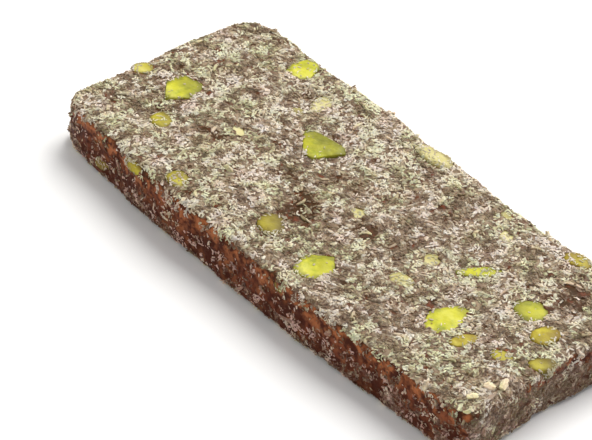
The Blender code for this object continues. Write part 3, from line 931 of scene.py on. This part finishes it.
dusted = []
cut_side = []
for point in paste.data.vertices:
    facing = {face: -point.normal.dot(way) for face, way in INTO.items()}
    face = max(facing, key=facing.get)
    dusted.append(cover(face, point.co, 0) * (LONG_SIDE_DUSTED if face in ("front", "back") else 1.0))
    _, y, z = (point.co - TRAY_TO_FRAME) / MM
    on_end = END_SHOWING_PASTE + (1 - END_SHOWING_PASTE) * bare_band(face, y, z)
    showing = UPRIGHT_SHOWS - LEVEL_HIDES * abs(point.normal.z)
    cut_side.append(showing * SHOWING_PASTE.get(face, on_end))
mark(paste.data, "dusted", np.clip(dusted, 0.0, 1.0))
mark(paste.data, "cut_side", np.clip(cut_side, 0.0, 1.0))

GRAIN_REACH = (0.53 * PASTE_LENGTH, 0.56 * FAR_END_WIDTH, 0.6 * PASTE_THICKNESS)  # from the slab's middle
GRAIN_FACING = 0.45


def coconut_spots(shares, seed):
    """Where a grain sticks: point, normal, face, whether on a kernel, and how much coconut sticks there."""
    draw = np.random.default_rng(seed)
    kept = []
    for face, count in shares.items():
        spots = draw.uniform(-1, 1, (count, 3)) * GRAIN_REACH
        chances = draw.uniform(0, 1, count)
        flat = np.abs(np.array(INTO[face])) > 0.5
        spots[:, flat] = 0.0
        above = Vector((0, 0, PASTE_THICKNESS / 2)) * (not flat[2])
        for spot, chance in zip(spots, chances):
            point, normal, index = seen_from(face, Vector(spot) + TRAY_TO_FRAME + above, bare_slab)
            if point is None or -normal.dot(INTO[face]) < GRAIN_FACING:
                continue
            held = cover(face, point, owners[index])
            if chance < held:
                kept.append((point, normal, face, owners[index] > 0, held))
    return kept


TONE_SPREAD = (7.0, 10.0)  # of a beta distribution round 0.41, as in COCONUT_TONES
DRIFTS = ((14.0, 0.35), (6.0, 0.40), (3.0, 0.90), (1.6, 1.30), (0.9, 0.90))  # of tone: width in mm, strength
UNDER_RIM = PASTE_THICKNESS * 0.85
UNDER_RIM_OVER = 2 * MM
DARKER_UNDER_RIM = 0.22
DARKER_ON_END = (0.27, 0.24)  # at its front corner, and how much more away from it
CORNER_ENDS = (-18 * MM, 12 * MM)  # along Y
PAINTED_SHADE_AT_FOOT = 0.46  # painted shade on the grains at the foot of a side, by the near end
LOW_UP_TO = 8 * MM
NEAR_END_FROM = 30 * MM
DARKER_WHERE_THIN = 0.35
THICK_COVER = 0.7
PALEST_ON_SIDE = 0.20
DARKEST_ON_KERNEL = 0.5
SOAKED_SPREAD = (-0.1, 0.4)
SOAKED_UNDER_RIM = 0.8
SOAKED_ON_END = 0.30  # under the rim of an end
SOAKED_WHERE_THIN = 0.15
SOAKED_DRIFT = 0.9
SOAKED_WIDTH = 3.2 * MM
SOAKED_LEVEL = 0.6  # of what a side takes up
SOAKED_KERNEL = 0.3
SMALLER_ON_SIDE = 0.90
SMALLER_ON_KERNEL = 0.75


def soft_patches(points, width):
    """Patches of one width: a value for each point, from about -1 to 1."""
    return np.array([noise.noise(Vector(point) / width) for point in points])


def grain_looks(points, on_side, on_end, on_kernel, held, draw):
    """How brown each grain is, and how far it has soaked up the colour of the paste."""
    x, y, z = points.T
    under_rim = np.clip((UNDER_RIM - z) / UNDER_RIM_OVER, 0, 1) * on_side
    # where the painted shade at the foot of a side falls
    low = np.clip(1 - z / LOW_UP_TO, 0, 1) * np.clip(x / NEAR_END_FROM, 0, 1)
    thin = np.clip(1 - held / THICK_COVER, 0, 1) * ~(on_side | on_kernel)
    corner, over = CORNER_ENDS
    end_tone = on_end * (DARKER_ON_END[0] + DARKER_ON_END[1] * np.clip((y - corner) / over, 0, 1))
    tones = draw.beta(*TONE_SPREAD, len(points))
    tones += DARKER_UNDER_RIM * under_rim
    tones += end_tone
    # Painted shade: the grains at the foot of a side near the near end are darker.
    tones += PAINTED_SHADE_AT_FOOT * low * on_side
    tones += DARKER_WHERE_THIN * thin
    for width, strength in DRIFTS:
        tones -= strength * soft_patches(points, width * MM)
    palest = np.where(on_side, PALEST_ON_SIDE, 0.0)
    darkest = np.where(on_kernel, DARKEST_ON_KERNEL, 1.0)
    soaking = draw.uniform(*SOAKED_SPREAD, len(points))
    soaking += np.where(on_end, SOAKED_ON_END, SOAKED_UNDER_RIM) * under_rim
    soaking += SOAKED_WHERE_THIN * thin
    soaking += SOAKED_DRIFT * soft_patches(points, SOAKED_WIDTH)
    taken_up = np.where(on_kernel, SOAKED_KERNEL, np.where(on_side, 1.0, SOAKED_LEVEL))
    return np.clip(tones, palest, darkest), np.clip(soaking, 0, 1) * taken_up


def tip(one, other, angle):
    """Two ways at right angles, turned by an angle in their own plane."""
    return one * np.cos(angle) + other * np.sin(angle), other * np.cos(angle) - one * np.sin(angle)


def strew(name, patterns, spots, spans, lift, tilt, seed):
    """Lays one kind of grain on its spots, each turned, tilted and sized by chance."""
    draw = np.random.default_rng(seed)
    count = len(spots)
    points, normals, sides, on_kernel, held = (np.array(column) for column in zip(*spots))
    on_end = np.isin(sides, ("near", "far"))
    on_side = on_end | np.isin(sides, ("front", "back"))
    loose = draw.normal(size=(count, 3))
    along = loose - (loose * normals).sum(1, keepdims=True) * normals
    along /= np.linalg.norm(along, axis=1, keepdims=True)
    across = np.cross(normals, along)
    pitch, roll = draw.normal(0, tilt, (2, count, 1))
    along, up = tip(along, normals, pitch)
    across, up = tip(across, up, roll)
    frames = np.stack([along, across, up], axis=1)
    sizes = np.stack([draw.uniform(low * MM, high * MM, count) for low, high in spans], axis=1)
    sizes *= np.where(on_kernel, SMALLER_ON_KERNEL, np.where(on_side, SMALLER_ON_SIDE, 1.0))[:, None]
    centres = points + normals * (sizes[:, 2:] * draw.uniform(*lift, (count, 1)))
    which = draw.integers(len(patterns), size=count)
    tones, soaking = grain_looks(points, on_side, on_end, on_kernel, held, draw)
    batches = []
    for number, (pattern, faces) in enumerate(patterns):
        mine = which == number
        turned = (pattern[None] * sizes[mine, None]) @ frames[mine]
        batches.append((turned + centres[mine, None], faces, tones[mine], soaking[mine]))
    joined_grains(name, batches)


SPOT_SEED = 11
STREW_SEED = 21
GRAIN_PATTERNS = 8
GRAIN_KINDS = {  # form: sides, cuts, taper, bend and raggedness; sizes in mm: of length, width and thickness
    "dust": {
        "form": (3, 0, 0.3, 0.0, 0.16), "sizes": ((0.22, 0.40), (0.18, 0.34), (0.12, 0.22)),
        "lift": (0.0, 0.4), "tilt": 0.3,
        "tries": {"top": 8000, "under": 6000, "front": 5000, "back": 4500, "near": 2400, "far": 2400},
    },
    "crumbs": {
        "form": (4, 0, 0.3, 0.0, 0.18), "sizes": ((0.38, 0.72), (0.32, 0.58), (0.16, 0.30)),
        "lift": (0.0, 0.5), "tilt": 0.22,
        "tries": {"top": 10000, "under": 7000, "front": 5200, "back": 4600, "near": 1800, "far": 1800},
    },
    "slivers": {
        "form": (3, 1, 0.30, 0.1, 0.11), "sizes": ((0.50, 1.10), (0.28, 0.44), (0.14, 0.24)),
        "lift": (0.1, 0.8), "tilt": 0.12,
        "tries": {"top": 5600, "under": 4400, "front": 600, "back": 600, "near": 800, "far": 800},
    },
    "flakes": {
        "form": (4, 0, 0.20, 0.1, 0.14), "sizes": ((0.44, 0.92), (0.36, 0.66), (0.10, 0.19)),
        "lift": (0.1, 0.9), "tilt": 0.12,
        "tries": {"top": 9800, "under": 7200, "front": 1300, "back": 1200, "near": 900, "far": 900},
    },
}
for number, (kind, grain) in enumerate(GRAIN_KINDS.items()):
    sides, cuts, taper, bend, ragged = grain["form"]
    bends = [bend * (-1) ** pattern for pattern in range(GRAIN_PATTERNS)]
    patterns = [grain_pattern(sides, cuts, taper, bend, ragged, look_rng) for bend in bends]
    spots = coconut_spots(grain["tries"], SPOT_SEED + number)
    seed = STREW_SEED + number
    strew(f"coconut_{kind}", patterns, spots, grain["sizes"], grain["lift"], grain["tilt"], seed)


# -------- The pale lumps
# Three lumps of fresh coconut, which the rolling has pressed together from crumbs. They stick to the fine
# coating by the near rim.

LUMPS = (  # in mm and degrees: x, y, length, width, turn
    (47.9, -14.0, 1.7, 1.5, 20),
    (48.0, -17.8, 1.9, 1.2, 60),
    (49.0, -12.0, 2.5, 1.3, -60),
)
LUMP_THICKNESS = 0.9 * MM
LUMP_RISE = 0.22 * MM
LUMP_TAPER = 0.30
LUMP_TONES = (0.05, 0.25)
LUMP_FORM = {"sides": 7, "cuts": 3, "taper": 0.0, "bend": 0.0, "ragged": 0.10}
lump_patterns = [grain_pattern(rng=look_rng, **LUMP_FORM) for _ in LUMPS]
lumps = []
for (x, y, length, width, turn), (pattern, faces) in zip(LUMPS, lump_patterns):
    point, normal, _ = seen_from("top", Vector((x, y, 0.0)) * MM)
    lie = standing_on(point + normal * LUMP_RISE, normal, math.radians(turn))
    lie = np.array(IN_FRAME @ lie)
    narrow = (1 - LUMP_TAPER * (2 * pattern[:, :1]) ** 2) * (0, 1, 1) + (1, 0, 0)
    local = pattern * narrow * (length * MM, width * MM, LUMP_THICKNESS)
    place = local @ lie[:3, :3].T + lie[:3, 3]
    tone = np.array([look_rng.uniform(*LUMP_TONES)])
    lumps.append((place[None], faces, tone, tone))
joined_grains("coconut_lumps", lumps)


# -------- The table, light and camera
# A pale table under soft light: a large window above and behind the slab, a reflector before it, and a little
# blue light from the sky at its near end. The camera is at the photograph's angle.

bpy.ops.object.select_all(action="DESELECT")
bpy.ops.mesh.primitive_plane_add(size=4, location=(0, 0, -0.05 * MM))
table = bpy.context.object
table.name = "table"
bpy.ops.object.transform_apply(location=True, rotation=False, scale=False)
TABLE_WHITE = (0.86, 0.86, 0.855, 1)
TABLE_SHADE = (0.84, 0.84, 0.835, 1)
table_finish, tree, shader = new_finish("table", Roughness=0.6)
tree.links.new(mottled(tree, TABLE_WHITE, TABLE_SHADE, size=60.0), shader.inputs["Base Color"])
table.data.materials.append(table_finish)


def soft_light(name, place, size, power, colour):
    """A square light that faces the slab."""
    bpy.ops.object.light_add(type="AREA", location=place)
    light = bpy.context.object
    light.name = name
    light.rotation_euler = Vector(place).to_track_quat("Z", "Y").to_euler()
    light.data.size = size
    light.data.energy = power
    light.data.color = colour


soft_light("window", (-0.10, 0.55, 0.75), 0.8, 12.0, (1.0, 0.985, 0.96))
soft_light("reflector", (-0.30, -0.80, 0.40), 0.7, 2.0, (1.0, 0.99, 0.97))
soft_light("sky_light", (0.90, 0.20, 0.22), 0.6, 0.80, (0.64, 0.60, 1.0))

sky = bpy.data.worlds.new("sky")
sky.use_nodes = True
sky.node_tree.nodes["Background"].inputs["Color"].default_value = (1.0, 1.0, 1.0, 1.0)
sky.node_tree.nodes["Background"].inputs["Strength"].default_value = 0.5
bpy.context.scene.world = sky
bpy.context.scene.view_settings.view_transform = "Standard"

CAMERA_PLACE = Vector((259.235, -266.837, 303.329)) * MM + TRAY_TO_FRAME
CAMERA_TURN = (51.0978, -4.2861, 49.0160)  # in degrees
CAMERA_VIEW = 12.0  # in degrees, across the picture
bpy.ops.object.camera_add(location=CAMERA_PLACE, rotation=[math.radians(turn) for turn in CAMERA_TURN])
camera = bpy.context.object
camera.data.sensor_fit = "HORIZONTAL"
camera.data.angle = math.radians(CAMERA_VIEW)
camera.data.clip_start = 0.01
bpy.context.scene.camera = camera
